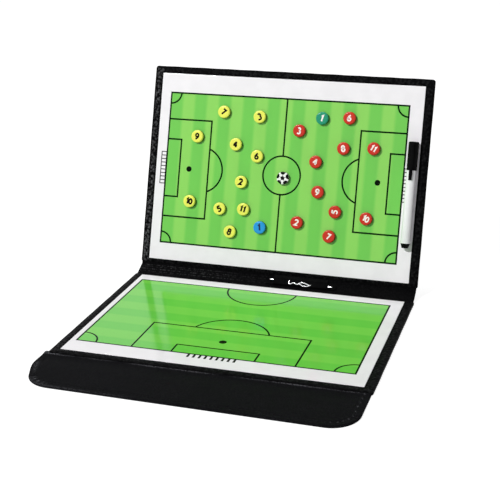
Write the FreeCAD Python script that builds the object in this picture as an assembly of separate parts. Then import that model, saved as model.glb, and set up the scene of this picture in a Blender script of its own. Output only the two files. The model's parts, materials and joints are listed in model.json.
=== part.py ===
import FreeCAD, Part
import math
import os
from FreeCAD import Vector

# A folding tactics board: two magnetic boards in a leather-covered folder, with a spine clip, a closing flap,
# magnetic player chips and a capped marker.
# Millimetres and degrees. +X runs to the right along the spine, +Y to the back and +Z up.
# The origin is the middle of the lower board, on the underside of the lower cover, where the folder lies.

# Boards: a steel sheet under a printed film, both of A4 size
board_length = 297.0
board_depth = 210.0
steel_thickness = 0.4
film_thickness = 0.3

# Covers: leather turned in over a stiffener, with a card that fills the leather's step under the board
leather_thickness = 0.8
stiffener_thickness = 2.0
side_border = 9.6
end_border = 8.0
hinge_border = 6.7
board_lap = 8.0
cover_corner = 3.0

# Folds: two bonded leathers, rounded about the fold line on the side that carries them
fold_setback = 1.5
fold_gap = 0.5
fold_inset = 1.0

# Spine
spine_pitch = 16.4
spine_stiffener_thickness = 1.2
spine_rest_angle = 24.6
cover_rest_angle = 72.5

# Closing flap: a soft gusset that rises in front of the closed covers, then the flap that lies over them
front_setback = 2.0
closing_clearance = 0.4
flap_overhang = 1.6
flap_offset = -2.8
flap_length = 42.0
flap_skew = 3.6
flap_taper = 16.0
flap_left_corner = 28.0
flap_right_corner = 30.0
flap_back_corner = 2.0
flap_setback = 2.0
flap_hem = 8.0
flap_hem_back = 3.0
flap_stiffener_thickness = 1.0
flap_lining_proud = 0.3
flap_magnet_length = 20.0
flap_magnet_width = 10.0
flap_magnet_spacing = 190.0
flap_magnet_from_fold = 19.0
keeper_length = 24.0
keeper_width = 14.0
keeper_thickness = 0.5

# Spine clip: base, ears, pin, hairpin spring, jaw with a rolled lip, and a lever of flat wire
clip_x = 32.0
clip_length = 80.0
clip_width = 11.0
clip_corner = 3.0
clip_sheet = 0.8
rivet_spacing = 64.0
rivet_shank_diameter = 3.0
rivet_head_diameter = 6.4
rivet_head_height = 1.2
rivet_hole_clearance = 0.1
pin_diameter = 2.0
pin_back = 0.4
pin_clearance = 0.1
pin_end = 0.6
ear_radius = 1.8
ear_inner_x = 24.0
ear_side_clearance = 0.4
spring_thickness = 0.5
spring_width = 30.0
spring_pin_gap = 0.3
spring_seat_gap = 0.2
spring_leg = 3.4
jaw_length = 60.0
jaw_tail = 4.0
jaw_ear_radius = 1.7
jaw_lip_radius = 0.8
jaw_lip_front = 4.9
jaw_grip_gap = 0.15
lever_wire = 1.6
lever_width = 25.6
lever_bend = 3.0
lever_reach = 5.9
lever_tail = 1.2

# Marker, lying along the right border of the upper board, held by the magnet in its cap
marker_edge_gap = 6.6
marker_top_gap = 59.4
marker_axis_height = 5.8
cap_diameter = 11.0
cap_length = 30.2
cap_end = 2.0
cap_bore_diameter = 7.2
cap_pad_width = 7.0
cap_pad_length = 22.0
cap_pad_height = 2.4
cap_magnet_width = 5.0
cap_magnet_length = 16.0
cap_magnet_thickness = 1.5
cap_magnet_recess = 0.1
tongue_width = 3.6
tongue_thickness = 1.0
tongue_gap = 0.5
tongue_root = 4.0
tongue_overhang = 10.6
barrel_diameter = 10.0
barrel_wall = 0.9
barrel_length = 77.8
cap_seat_gap = 0.2
nose_length = 12.0
nose_diameter = 6.6
nose_spigot = 8.0
nib_diameter = 4.0
nib_out = 6.0
nib_tip_thickness = 1.6
nib_in = 10.0
plug_length = 4.8
plug_tip_diameter = 6.6
plug_spigot = 6.0
core_end_gap = 0.5
fit_clearance = 0.1

# Player chips: a moulded button with a block magnet let into its underside
chip_diameter = 15.0
chip_height = 4.8
chip_sides = 40
chip_magnet_side = 8.0
chip_magnet_height = 2.0

# Places of the chips on the upper board: right of its middle, and up from its lower edge
chip_places = {
    "chip_yellow_2": (-46.0, 94.0),
    "chip_yellow_3": (-30.5, 167.0),
    "chip_yellow_4": (-55.5, 135.0),
    "chip_yellow_5": (-68.5, 62.5),
    "chip_yellow_6": (-30.0, 123.5),
    "chip_yellow_7": (-72.0, 170.0),
    "chip_yellow_8": (-54.5, 38.0),
    "chip_yellow_9": (-101.0, 141.0),
    "chip_yellow_10": (-104.5, 68.0),
    "chip_yellow_11": (-41.0, 64.0),
    "chip_blue_1": (-20.5, 45.5),
    "chip_red_2": (21.0, 54.5),
    "chip_red_3": (15.5, 154.5),
    "chip_red_4": (36.5, 122.0),
    "chip_red_5": (62.5, 69.5),
    "chip_red_6": (70.0, 171.5),
    "chip_red_7": (58.0, 42.5),
    "chip_red_8": (66.0, 138.5),
    "chip_red_9": (41.5, 89.5),
    "chip_red_10": (97.0, 65.0),
    "chip_red_11": (99.0, 140.5),
    "chip_teal_1": (40.0, 169.5),
    "chip_ball": (1.4, 101.8),
}

# Sizes that follow from those above
fold_radius = leather_thickness
cover_thickness = 2 * leather_thickness + stiffener_thickness
cover_width = board_length + 2 * side_border
cover_reach = hinge_border + board_depth + end_border
fold_width = cover_width - 2 * fold_inset
flap_width = cover_width + 2 * flap_overhang
fold_end = fold_radius + fold_gap
inner_face = fold_radius
outer_face = fold_radius - cover_thickness
board_face = inner_face + steel_thickness + film_thickness
spine_thickness = 2 * leather_thickness + spine_stiffener_thickness
flap_thickness = 2 * leather_thickness + flap_stiffener_thickness
closed_thickness = 2 * (cover_thickness - fold_radius) + spine_pitch
marker_x = board_length / 2 - marker_edge_gap
marker_top = board_depth - marker_top_gap
flap_inner_face = flap_thickness + flap_lining_proud - fold_radius
gusset_length = closed_thickness + closing_clearance + flap_inner_face - fold_radius

# Fold lines: the spine turns about the lower one, the upper cover about the upper one
lower_fold = Vector(0, board_depth / 2 + hinge_border, cover_thickness - fold_radius)
spine_angle = math.radians(spine_rest_angle)
upper_fold = lower_fold + Vector(0, math.cos(spine_angle), math.sin(spine_angle)) * spine_pitch
gusset_fold = Vector(0, lower_fold.y - cover_reach - front_setback, fold_radius)
flap_fold = gusset_fold - Vector(0, gusset_length, 0)

ORIGIN = Vector(0, 0, 0)
X_AXIS = Vector(1, 0, 0)
Y_AXIS = Vector(0, 1, 0)
Z_AXIS = Vector(0, 0, 1)

os.makedirs("parts", exist_ok=True)


def save(name, shape):
    """Writes one piece to its own file."""
    shape.exportStep("parts/" + name + ".step")


def moved(shape, place, turn=0.0):
    """A copy turned about the X axis at the origin, then carried to a place."""
    copy = shape.copy()
    copy.rotate(ORIGIN, X_AXIS, turn)
    copy.translate(place)
    return copy


def on_lower(shape):
    """From the lower fold line's frame to the lower cover."""
    return moved(shape, lower_fold)


def on_spine(shape):
    """From the lower fold line's frame to the leaning spine."""
    return moved(shape, lower_fold, spine_rest_angle)


def on_upper(shape):
    """From the upper fold line's frame to the leaning upper cover."""
    return moved(shape, upper_fold, cover_rest_angle)


def turned_round(shape):
    """A copy turned half round, so that a cover drawn towards the front runs towards the back."""
    copy = shape.copy()
    copy.rotate(ORIGIN, Z_AXIS, 180)
    return copy


def rounded_face(corners):
    """Flat face with straight sides, from its corners in turn, each with the radius of its rounding."""
    rounded = []
    for index, (corner, radius) in enumerate(corners):
        before = (corners[index - 1][0] - corner).normalize()
        after = (corners[(index + 1) % len(corners)][0] - corner).normalize()
        half_angle = before.getAngle(after) / 2
        reach = radius / math.tan(half_angle)
        middle = corner + (before + after).normalize() * (radius / math.sin(half_angle) - radius)
        rounded.append((corner + before * reach, middle, corner + after * reach))
    edges = []
    for index, (start, middle, end) in enumerate(rounded):
        edges.append(Part.Arc(start, middle, end).toShape())
        edges.append(Part.LineSegment(end, rounded[(index + 1) % len(rounded)][0]).toShape())
    return Part.Face(Part.Wire(edges))


def outline(x, y_front, y_back, front_corner, back_corner):
    """Flat rectangle from -x to x, with its own corner radius at the front end and at the back end."""
    return rounded_face([
        (Vector(-x, y_front, 0), front_corner),
        (Vector(x, y_front, 0), front_corner),
        (Vector(x, y_back, 0), back_corner),
        (Vector(-x, y_back, 0), back_corner),
    ])


def plate(face, low, high):
    """A flat outline given its thickness."""
    lifted = face.copy()
    lifted.translate(Vector(0, 0, low))
    return lifted.extrude(Vector(0, 0, high - low))


def block(x_low, x_high, y_low, y_high, z_low, z_high):
    """A box between two corners."""
    return Part.makeBox(x_high - x_low, y_high - y_low, z_high - z_low, Vector(x_low, y_low, z_low))


def bar_along_x(half_length, radius, y, z):
    """A round bar along X, centred on X = 0."""
    return Part.makeCylinder(radius, 2 * half_length, Vector(-half_length, y, z), X_AXIS)


def disc(radius, x, y, low, high):
    """An upright round disc."""
    return Part.makeCylinder(radius, high - low, Vector(x, y, low), Z_AXIS)


def lathe_along_y(points):
    """Turned solid along Y, from (radius, place) corners."""
    corners = [Vector(radius, place, 0) for radius, place in points]
    return Part.Face(Part.makePolygon(corners + corners[:1])).revolve(ORIGIN, Y_AXIS, 360)


def board_sheet(low, high):
    """A sheet of the board's outline between two heights above the fold line."""
    return block(-board_length / 2, board_length / 2, -hinge_border - board_depth, -hinge_border, low, high)


def cover_stiffener():
    """The board inside a cover, one leather's thickness inside the cover all round."""
    inner_corner = cover_corner - leather_thickness
    face = outline(
        cover_width / 2 - leather_thickness,
        leather_thickness - cover_reach,
        -fold_setback - leather_thickness,
        inner_corner,
        inner_corner,
    )
    return plate(face, outer_face + leather_thickness, inner_face - leather_thickness)


def cover_infill():
    """The card that fills the opening left by the turned-in leather, under the board."""
    x = board_length / 2 - board_lap
    front = board_lap - hinge_border - board_depth
    return block(-x, x, front, -hinge_border - board_lap, inner_face - leather_thickness, inner_face)


def fold_tongue(width, wall, middle_height, along):
    """Bonded leathers from a wall to a fold line at a place along Y, rounded about that line."""
    half = width / 2
    low = min(wall, along)
    high = max(wall, along)
    strip = block(-half, half, low, high, middle_height - fold_radius, middle_height + fold_radius)
    return strip.fuse(bar_along_x(half, fold_radius, along, middle_height))


def cover_leather(with_front_fold):
    """Leather round a stiffener, open under the board, with a fold at the spine and, if wanted, at the front."""
    face = outline(cover_width / 2, -cover_reach, -fold_setback, cover_corner, cover_corner)
    body = plate(face, outer_face, inner_face)
    tongues = [fold_tongue(fold_width, -fold_setback, 0, 0)]
    if with_front_fold:
        fold_height = outer_face + fold_radius
        tongues.append(fold_tongue(fold_width, -cover_reach, fold_height, -cover_reach - front_setback))
    body = body.fuse(tongues)
    return body.cut([cover_stiffener(), cover_infill()]).removeSplitter()


def pair_of_bars(length, width, y, low, high):
    """Two flat bars along X, as far apart as the flap's magnets."""
    bars = []
    for side in (-1, 1):
        x = side * flap_magnet_spacing / 2
        bars.append(block(x - length / 2, x + length / 2, y - width / 2, y + width / 2, low, high))
    return Part.makeCompound(bars)


def keeper_plates():
    """Two steel bars let into the outer side of the upper stiffener, under the magnets of the closed flap."""
    low = outer_face + leather_thickness
    place = flap_magnet_from_fold - front_setback - cover_reach
    return pair_of_bars(keeper_length, keeper_width, place, low, low + keeper_thickness)


def lower_cover():
    """The cover that lies on the table, with the plain lower board."""
    save("lower_cover_leather", on_lower(cover_leather(True)))
    save("lower_stiffener", on_lower(cover_stiffener()))
    save("lower_infill_card", on_lower(cover_infill()))
    save("lower_steel_sheet", on_lower(board_sheet(inner_face, inner_face + steel_thickness)))
    save("lower_pitch_film", on_lower(board_sheet(inner_face + steel_thickness, board_face)))


def upper_cover():
    """The cover that stands up, with the board that carries the chips, and the keepers for the flap."""
    keepers = keeper_plates()
    save("upper_cover_leather", on_upper(turned_round(cover_leather(False))))
    save("upper_stiffener", on_upper(turned_round(cover_stiffener().cut(keepers))))
    save("upper_infill_card", on_upper(turned_round(cover_infill())))
    save("upper_steel_sheet", on_upper(turned_round(board_sheet(inner_face, inner_face + steel_thickness))))
    save("upper_pitch_film", on_upper(turned_round(board_sheet(inner_face + steel_thickness, board_face))))
    save("closure_keeper_plates", on_upper(turned_round(keepers)))


def rivet_places():
    """Places of the two rivets along the spine."""
    return [clip_x + side * rivet_spacing / 2 for side in (-1, 1)]


def spine():
    """The leather-covered strip between the covers, pierced for the clip's rivets."""
    low = inner_face - spine_thickness
    body = block(-fold_width / 2, fold_width / 2, fold_end, spine_pitch - fold_end, low, inner_face)
    core = block(
        leather_thickness - fold_width / 2,
        fold_width / 2 - leather_thickness,
        fold_end + leather_thickness,
        spine_pitch - fold_end - leather_thickness,
        low + leather_thickness,
        inner_face - leather_thickness,
    )
    hole = rivet_shank_diameter / 2 + rivet_hole_clearance
    holes = [disc(hole, x, spine_pitch / 2, low + leather_thickness, inner_face) for x in rivet_places()]
    save("spine_leather", on_spine(body.cut([core] + holes)))
    save("spine_stiffener", on_spine(core.cut(holes)))


def on_clip(shape):
    """From the clip's own frame, on the middle of the spine's inner face, to the spine."""
    copy = shape.copy()
    copy.translate(Vector(clip_x, spine_pitch / 2, inner_face))
    return on_spine(copy)


# The clip's section, seen along X: the jaw is concentric with the pin and clears the spring that wraps it
spring_inner = pin_diameter / 2 + spring_pin_gap
spring_outer = spring_inner + spring_thickness
pin_height = clip_sheet + spring_seat_gap + spring_outer
jaw_radius = spring_outer + spring_seat_gap
jaw_middle_radius = jaw_radius + clip_sheet / 2
lip_height = clip_sheet + jaw_grip_gap + jaw_lip_radius
lip_back = -jaw_lip_front - pin_back
lip_up = lip_height - pin_height
lip_distance = math.hypot(lip_back, lip_up)
jaw_run = math.sqrt(lip_distance**2 - jaw_middle_radius**2)
jaw_outer = jaw_radius + clip_sheet
lip_direction = math.atan2(lip_up, lip_back) % (2 * math.pi)
jaw_bend = lip_direction - math.acos(jaw_middle_radius / lip_distance)
lever_lean = lip_direction - math.acos((jaw_outer - jaw_lip_radius) / lip_distance)


def about_pin(radius, angle, along=0.0, x=0.0):
    """A point at a radius and angle about the pin, then along the tangent there, in the clip's frame."""
    y = pin_back + radius * math.cos(angle) - along * math.sin(angle)
    z = pin_height + radius * math.sin(angle) + along * math.cos(angle)
    return Vector(x, y, z)


def across(edges, half_length):
    """A section in the clip's frame carried along X, centred on X = 0."""
    face = Part.Face(Part.Wire(edges))
    face.translate(Vector(-half_length, 0, 0))
    return face.extrude(Vector(2 * half_length, 0, 0))


def clip_ear(radius, x_low, x_high, y_low, y_high, z_low, z_high):
    """A sheet ear that is round about the pin and runs into the sheet that carries it."""
    eye = Part.makeCylinder(radius, x_high - x_low, Vector(x_low, pin_back, pin_height), X_AXIS)
    return eye.fuse(block(x_low, x_high, y_low, y_high, z_low, z_high))


def clip_base():
    """Base plate with two ears bent up at the pin, and a hole for each rivet."""
    face = outline(clip_length / 2, -clip_width / 2, clip_width / 2, clip_corner, clip_corner)
    base = plate(face, 0, clip_sheet)
    low = pin_back - ear_radius
    high = pin_back + ear_radius
    ears = []
    for side in (-1, 1):
        x = sorted((side * ear_inner_x, side * (ear_inner_x + clip_sheet)))
        ears.append(clip_ear(ear_radius, x[0], x[1], low, high, 0, pin_height))
    hole = rivet_shank_diameter / 2 + rivet_hole_clearance
    cuts = [disc(hole, x - clip_x, 0, 0, clip_sheet) for x in rivet_places()]
    cuts.append(bar_along_x(clip_length / 2, pin_diameter / 2 + pin_clearance, pin_back, pin_height))
    save("clip_base", on_clip(base.fuse(ears).cut(cuts).removeSplitter()))


def clip_pin():
    """The pin through the ears, left a little proud at both ends."""
    half = ear_inner_x + clip_sheet + pin_end
    save("clip_pin", on_clip(bar_along_x(half, pin_diameter / 2, pin_back, pin_height)))


def clip_rivets():
    """Two rivets with flat heads on the base, set in the spine's stiffener under the outer leather."""
    rivets = []
    for place in rivet_places():
        x = place - clip_x
        shank = disc(rivet_shank_diameter / 2, x, 0, leather_thickness - spine_thickness, clip_sheet)
        head = disc(rivet_head_diameter / 2, x, 0, clip_sheet, clip_sheet + rivet_head_height)
        rivets.append(shank.fuse(head))
    save("clip_rivets", on_clip(Part.makeCompound(rivets)))


def clip_spring():
    """Hairpin strip spring round the front of the pin: one leg on the base, one under the jaw's tail."""
    top = math.pi / 2
    front = math.pi
    bottom = 1.5 * math.pi
    outer = [about_pin(spring_outer, angle) for angle in (top, front, bottom)]
    inner = [about_pin(spring_inner, angle) for angle in (bottom, front, top)]
    upper_tip = [about_pin(radius, top, -spring_leg) for radius in (spring_inner, spring_outer)]
    lower_tip = [about_pin(radius, bottom, spring_leg) for radius in (spring_outer, spring_inner)]
    edges = [
        Part.LineSegment(upper_tip[1], outer[0]).toShape(),
        Part.Arc(*outer).toShape(),
        Part.LineSegment(outer[2], lower_tip[0]).toShape(),
        Part.LineSegment(lower_tip[0], lower_tip[1]).toShape(),
        Part.LineSegment(lower_tip[1], inner[0]).toShape(),
        Part.Arc(*inner).toShape(),
        Part.LineSegment(inner[2], upper_tip[0]).toShape(),
        Part.LineSegment(upper_tip[0], upper_tip[1]).toShape(),
    ]
    save("clip_spring", on_clip(across(edges, spring_width / 2)))


def clip_jaw():
    """Jaw: a bent sheet concentric with the pin above the spring, a rolled lip, and two ears on the pin."""
    top = math.pi / 2
    inner = [about_pin(jaw_radius, angle) for angle in (top, (top + jaw_bend) / 2, jaw_bend)]
    outer = [about_pin(jaw_outer, angle) for angle in (top, (top + jaw_bend) / 2, jaw_bend)]
    inner_lip = about_pin(jaw_radius, jaw_bend, jaw_run)
    outer_lip = about_pin(jaw_outer, jaw_bend, jaw_run)
    inner_tail = about_pin(jaw_radius, top, -jaw_tail)
    outer_tail = about_pin(jaw_outer, top, -jaw_tail)
    edges = [
        Part.LineSegment(inner_tail, inner[0]).toShape(),
        Part.Arc(*inner).toShape(),
        Part.LineSegment(inner[2], inner_lip).toShape(),
        Part.LineSegment(inner_lip, outer_lip).toShape(),
        Part.LineSegment(outer_lip, outer[2]).toShape(),
        Part.Arc(*reversed(outer)).toShape(),
        Part.LineSegment(outer[0], outer_tail).toShape(),
        Part.LineSegment(outer_tail, inner_tail).toShape(),
    ]
    jaw = across(edges, jaw_length / 2)
    lip = bar_along_x(jaw_length / 2, jaw_lip_radius, -jaw_lip_front, lip_height)
    ears = []
    ear_outer = ear_inner_x - ear_side_clearance
    root = pin_height + jaw_middle_radius
    half = min(jaw_tail, jaw_ear_radius)
    for side in (-1, 1):
        x = sorted((side * ear_outer, side * (ear_outer - clip_sheet)))
        ears.append(clip_ear(jaw_ear_radius, x[0], x[1], pin_back - half, pin_back + half, pin_height, root))
    hole = bar_along_x(jaw_length / 2, pin_diameter / 2 + pin_clearance, pin_back, pin_height)
    save("clip_jaw", on_clip(jaw.fuse([lip] + ears).cut(hole).removeSplitter()))


def clip_lever():
    """Lever: a U of flat wire that lies down the front of the jaw, against its bend and its rolled lip."""
    half = lever_width / 2
    straight = lever_bend - lever_reach
    u_face = outline(half, -lever_reach, lever_tail, lever_bend, lever_tail)
    inner_bend = max(lever_bend - lever_wire, lever_wire / 4)
    gap = outline(half - lever_wire, lever_wire - lever_reach, lever_tail, inner_bend, inner_bend)
    square_tail = block(-half, half, straight, lever_tail, 0, lever_wire)
    square_gap = block(lever_wire - half, half - lever_wire, straight, lever_tail, 0, lever_wire)
    wire = plate(u_face, 0, lever_wire).fuse(square_tail)
    wire = wire.cut([plate(gap, 0, lever_wire), square_gap]).removeSplitter()
    wire.rotate(ORIGIN, X_AXIS, math.degrees(lever_lean) - 90)
    wire.translate(about_pin(jaw_outer, lever_lean))
    save("clip_lever", on_clip(wire))


def gusset():
    """The soft strip between the lower cover and the flap, as long as the closed folder is thick."""
    face = outline(
        flap_width / 2,
        fold_end - gusset_length,
        -fold_end,
        flap_back_corner,
        flap_back_corner,
    )
    face.translate(Vector(flap_offset, 0, 0))
    save("gusset_leather", moved(plate(face, -fold_radius, fold_radius), gusset_fold))


def flap_left_side(y, inset):
    """X of the flap's left side, which leans in towards the front, moved in by an inset."""
    lean = math.atan2(flap_taper, flap_length)
    return inset / math.cos(lean) - flap_width / 2 - y * math.tan(lean)


def flap_outline(inset, back):
    """The flap's outline, moved in by an inset at its sides and front, from a given way off the fold."""
    right_side = flap_width / 2 - inset
    left_front = inset - flap_length + flap_skew / 2
    right_front = inset - flap_length - flap_skew / 2
    room = -left_front - back - 2 * flap_back_corner
    face = rounded_face([
        (Vector(flap_left_side(left_front, inset), left_front, 0), min(flap_left_corner - inset, room)),
        (Vector(right_side, right_front, 0), min(flap_right_corner - inset, room)),
        (Vector(right_side, -back, 0), flap_back_corner),
        (Vector(flap_left_side(-back, inset), -back, 0), flap_back_corner),
    ])
    face.translate(Vector(flap_offset, 0, 0))
    return face


def flap():
    """The flap: leather turned in over a stiffener, a lining inside the hem, and two hidden magnets."""
    low = -fold_radius
    high = low + flap_thickness
    core_low = low + leather_thickness
    core_high = core_low + flap_stiffener_thickness
    body = plate(flap_outline(0, flap_setback), low, high)
    tongue = fold_tongue(flap_width - 4 * flap_back_corner, -flap_setback, 0, 0)
    tongue.translate(Vector(flap_offset, 0, 0))
    core = plate(flap_outline(leather_thickness, flap_setback + leather_thickness), core_low, core_high)
    window = flap_outline(flap_hem, flap_setback + flap_hem_back)
    opening = plate(window, core_high, high)
    lining = plate(window, core_high, high + flap_lining_proud)
    magnets = pair_of_bars(flap_magnet_length, flap_magnet_width, -flap_magnet_from_fold, core_low, core_high)
    save("flap_leather", moved(body.fuse(tongue).cut([core, opening]).removeSplitter(), flap_fold))
    save("flap_lining", moved(lining, flap_fold))
    save("flap_stiffener", moved(core.cut(magnets), flap_fold))
    save("flap_magnets", moved(magnets, flap_fold))


def on_board(shape, across_x, up, height=0.0):
    """From a point's own frame, with Z off the board and Y up the board, to the upper board's face."""
    copy = shape.copy()
    copy.translate(Vector(across_x, hinge_border + up, board_face + height))
    return on_upper(copy)


def marker_cap():
    """Cap with a magnet pad towards the board and a springy tongue away from it. Y = 0 is its closed end."""
    radius = cap_diameter / 2
    mouth = -cap_length
    body = Part.makeCylinder(radius, cap_length, Vector(0, mouth, 0), Y_AXIS)
    bore = Part.makeCylinder(cap_bore_diameter / 2, cap_length - cap_end, Vector(0, mouth, 0), Y_AXIS)
    middle = mouth / 2
    low = -marker_axis_height
    half = cap_pad_width / 2
    reach = cap_pad_length / 2
    pad = block(-half, half, middle - reach, middle + reach, low, low + cap_pad_height)
    half = cap_magnet_width / 2
    reach = cap_magnet_length / 2
    magnet_low = low + cap_magnet_recess
    magnet = block(-half, half, middle - reach, middle + reach, magnet_low, magnet_low + cap_magnet_thickness)
    mouth_of_pocket = block(-half, half, middle - reach, middle + reach, low, magnet_low)
    half = tongue_width / 2
    tongue_low = radius + tongue_gap
    tongue_high = tongue_low + tongue_thickness
    root = block(-half, half, -tongue_root, 0, radius - tongue_thickness, tongue_high)
    tongue = block(-half, half, mouth - tongue_overhang, 0, tongue_low, tongue_high)
    cap = body.fuse([pad, root, tongue]).cut([bore, magnet, mouth_of_pocket]).removeSplitter()
    save("marker_cap", on_board(cap, marker_x, marker_top, marker_axis_height))
    save("cap_magnet", on_board(magnet, marker_x, marker_top, marker_axis_height))


def marker_body():
    """Barrel, nose, nib, ink core and end plug, turned about the marker's axis. Y = 0 is the barrel's top."""
    outer = barrel_diameter / 2
    bore = outer - barrel_wall
    spigot = bore - fit_clearance
    nib = nib_diameter / 2
    barrel = lathe_along_y([(bore, 0), (outer, 0), (outer, -barrel_length), (bore, -barrel_length)])
    nose = lathe_along_y([
        (nib + fit_clearance, -nose_spigot),
        (spigot, -nose_spigot),
        (spigot, 0),
        (nose_diameter / 2, 0),
        (nose_diameter / 2, nose_length),
        (nib + fit_clearance, nose_length),
    ])
    nib_end = nose_length + nib_out
    bevel = Part.makePolygon([
        Vector(-nib, nib_end - nib_out / 2, nib),
        Vector(-nib, nib_end, nib),
        Vector(-nib, nib_end, nib_tip_thickness - nib),
        Vector(-nib, nib_end - nib_out / 2, nib),
    ])
    nib_solid = Part.makeCylinder(nib, nib_in + nib_out, Vector(0, nose_length - nib_in, 0), Y_AXIS)
    nib_solid = nib_solid.cut(Part.Face(bevel).extrude(Vector(2 * nib, 0, 0)))
    core_top = -nose_spigot - core_end_gap
    core_low = core_end_gap + plug_spigot - barrel_length
    core = lathe_along_y([(0, core_low), (spigot, core_low), (spigot, core_top), (0, core_top)])
    plug = lathe_along_y([
        (0, plug_spigot - barrel_length),
        (spigot, plug_spigot - barrel_length),
        (spigot, -barrel_length),
        (outer, -barrel_length),
        (plug_tip_diameter / 2, -barrel_length - plug_length),
        (0, -barrel_length - plug_length),
    ])
    pieces = {
        "marker_barrel": barrel,
        "marker_nose": nose,
        "marker_nib": nib_solid,
        "marker_ink_core": core,
        "marker_end_plug": plug,
    }
    barrel_top = marker_top - cap_length - cap_seat_gap
    for name, piece in pieces.items():
        save(name, on_board(piece, marker_x, barrel_top, marker_axis_height))


def chips():
    """Each chip: a button whose round wall is many narrow flats, and a block magnet let into its underside."""
    sides = round(chip_sides)
    turns = [2 * math.pi * index / sides for index in range(sides + 1)]
    rim = [Vector(math.cos(turn), math.sin(turn), 0) * (chip_diameter / 2) for turn in turns]
    button = Part.Face(Part.makePolygon(rim)).extrude(Vector(0, 0, chip_height))
    half = chip_magnet_side / 2
    magnet = block(-half, half, -half, half, 0, chip_magnet_height)
    chip = Part.makeCompound([button.cut(magnet), magnet])
    for name, (across_x, up) in chip_places.items():
        save(name, on_board(chip, across_x, up))


lower_cover()
upper_cover()
spine()
clip_base()
clip_pin()
clip_rivets()
clip_spring()
clip_jaw()
clip_lever()
gusset()
flap()
marker_cap()
marker_body()
chips()
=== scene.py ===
import json
import math

import bmesh
import bpy
import numpy as np
from mathutils import Matrix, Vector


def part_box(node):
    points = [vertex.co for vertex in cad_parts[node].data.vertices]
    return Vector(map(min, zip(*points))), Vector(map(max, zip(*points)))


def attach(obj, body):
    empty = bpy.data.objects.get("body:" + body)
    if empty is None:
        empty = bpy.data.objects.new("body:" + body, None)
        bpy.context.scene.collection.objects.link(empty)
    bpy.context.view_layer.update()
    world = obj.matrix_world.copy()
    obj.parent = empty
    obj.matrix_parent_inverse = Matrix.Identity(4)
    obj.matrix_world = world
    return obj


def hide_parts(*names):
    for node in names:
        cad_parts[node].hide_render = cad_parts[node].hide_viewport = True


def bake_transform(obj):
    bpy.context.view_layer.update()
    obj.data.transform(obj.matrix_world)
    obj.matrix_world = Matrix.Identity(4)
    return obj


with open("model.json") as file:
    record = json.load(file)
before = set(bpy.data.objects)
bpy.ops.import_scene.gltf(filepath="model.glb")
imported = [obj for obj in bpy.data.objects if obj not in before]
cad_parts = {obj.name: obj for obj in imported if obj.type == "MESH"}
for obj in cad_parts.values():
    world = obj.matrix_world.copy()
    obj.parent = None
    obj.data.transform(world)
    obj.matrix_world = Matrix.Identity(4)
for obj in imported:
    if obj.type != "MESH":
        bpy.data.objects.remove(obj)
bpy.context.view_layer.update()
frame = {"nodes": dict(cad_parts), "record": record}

# Sizes of the part in millimetres and degrees, as in the CAD source
MM = 0.001
BOARD_LENGTH = 297.0
BOARD_DEPTH = 210.0
HINGE_BORDER = 6.7
COVER_HALF = 158.1
COVER_REACH = 224.7
COVER_CORNER = 3.0
FOLD_SETBACK = 1.5
FOLD_HALF = 157.1
INNER_FACE = 0.8
OUTER_FACE = -2.8
FILM_LOW = 1.2
FILM_TOP = 1.5
SPINE_PITCH = 16.4
SPINE_LOW = -2.0
SPINE_ANGLE = 24.6
COVER_ANGLE = 72.5
LOWER_FOLD = (0.0, 111.7, 2.8)
GUSSET_LENGTH = 23.7
FLAP_OFFSET = -2.8
GUSSET_FOLD = (FLAP_OFFSET, -115.0, 0.8)
FLAP_HALF = 159.7
FLAP_LENGTH = 42.0
FLAP_SKEW = 3.6
FLAP_TAPER = 16.0
FLAP_LEFT_CORNER = 28.0
FLAP_RIGHT_CORNER = 27.5
FLAP_TOP = 1.8
FLAP_HEM = 8.0
CLIP_X = 32.0
RIVET_HALF_SPACING = 32.0
LEVER_FOOT = (0.0, -1.12, 5.15)
LEVER_LEAN = 32.9
MARKER_X = 141.9
MARKER_TOP = 150.6
MARKER_AXIS = 5.8
CAP_LENGTH = 30.2
TONGUE_END = 40.8
BARREL_TOP = 30.4
BARREL_LENGTH = 77.8
PLUG_LENGTH = 4.8
CHIP_RADIUS = 7.5
CHIP_HEIGHT = 4.8


def axes(origin, tilt=0.0, turn=0.0):
    """A frame turned about Z and then tilted about X: its origin, and its three directions as columns."""
    matrix = Matrix.Rotation(math.radians(tilt), 3, "X") @ Matrix.Rotation(math.radians(turn), 3, "Z")
    return np.array(origin, float), np.array(matrix)


def place(points, where):
    """Points of a frame, in the shared frame."""
    origin, matrix = where
    return np.asarray(points, float) @ matrix.T + origin


def moved(where, offset, tilt=0.0):
    """A frame at a point of another frame, tilted further about X."""
    return place(offset, where), where[1] @ axes(offset, tilt)[1]


LOWER = axes(LOWER_FOLD)
SPINE = axes(LOWER_FOLD, SPINE_ANGLE)
SPINE_AT_TOP = moved(SPINE, (0.0, SPINE_PITCH, 0.0))
UPPER = axes(SPINE_AT_TOP[0], COVER_ANGLE)
UPPER_BOARD = moved(UPPER, (0.0, HINGE_BORDER, FILM_TOP))
LOWER_BOARD = moved(LOWER, (0.0, -HINGE_BORDER - BOARD_DEPTH / 2, FILM_TOP))
GUSSET = axes(GUSSET_FOLD, turn=180.0)
FLAP = moved(GUSSET, (0.0, GUSSET_LENGTH, 0.0))
CLIP = moved(SPINE, (CLIP_X, SPINE_PITCH / 2, INNER_FACE))
LEVER = moved(CLIP, LEVER_FOOT, LEVER_LEAN)
MARKER = moved(UPPER_BOARD, (MARKER_X, MARKER_TOP, MARKER_AXIS))
DOWN_MARKER = moved(MARKER, (0.0, 0.0, 0.0), 90.0)


# Meshes
def grid_faces(rows, columns):
    """Quads of a grid of points, row by row, with its last column joined to its first."""
    row = np.arange(rows - 1)[:, None] * columns
    column = np.arange(columns)[None, :]
    following = (column + 1) % columns
    corners = (row + column, row + following, row + columns + following, row + columns + column)
    return np.stack(np.broadcast_arrays(*corners), -1).reshape(-1, 4).tolist()


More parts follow.
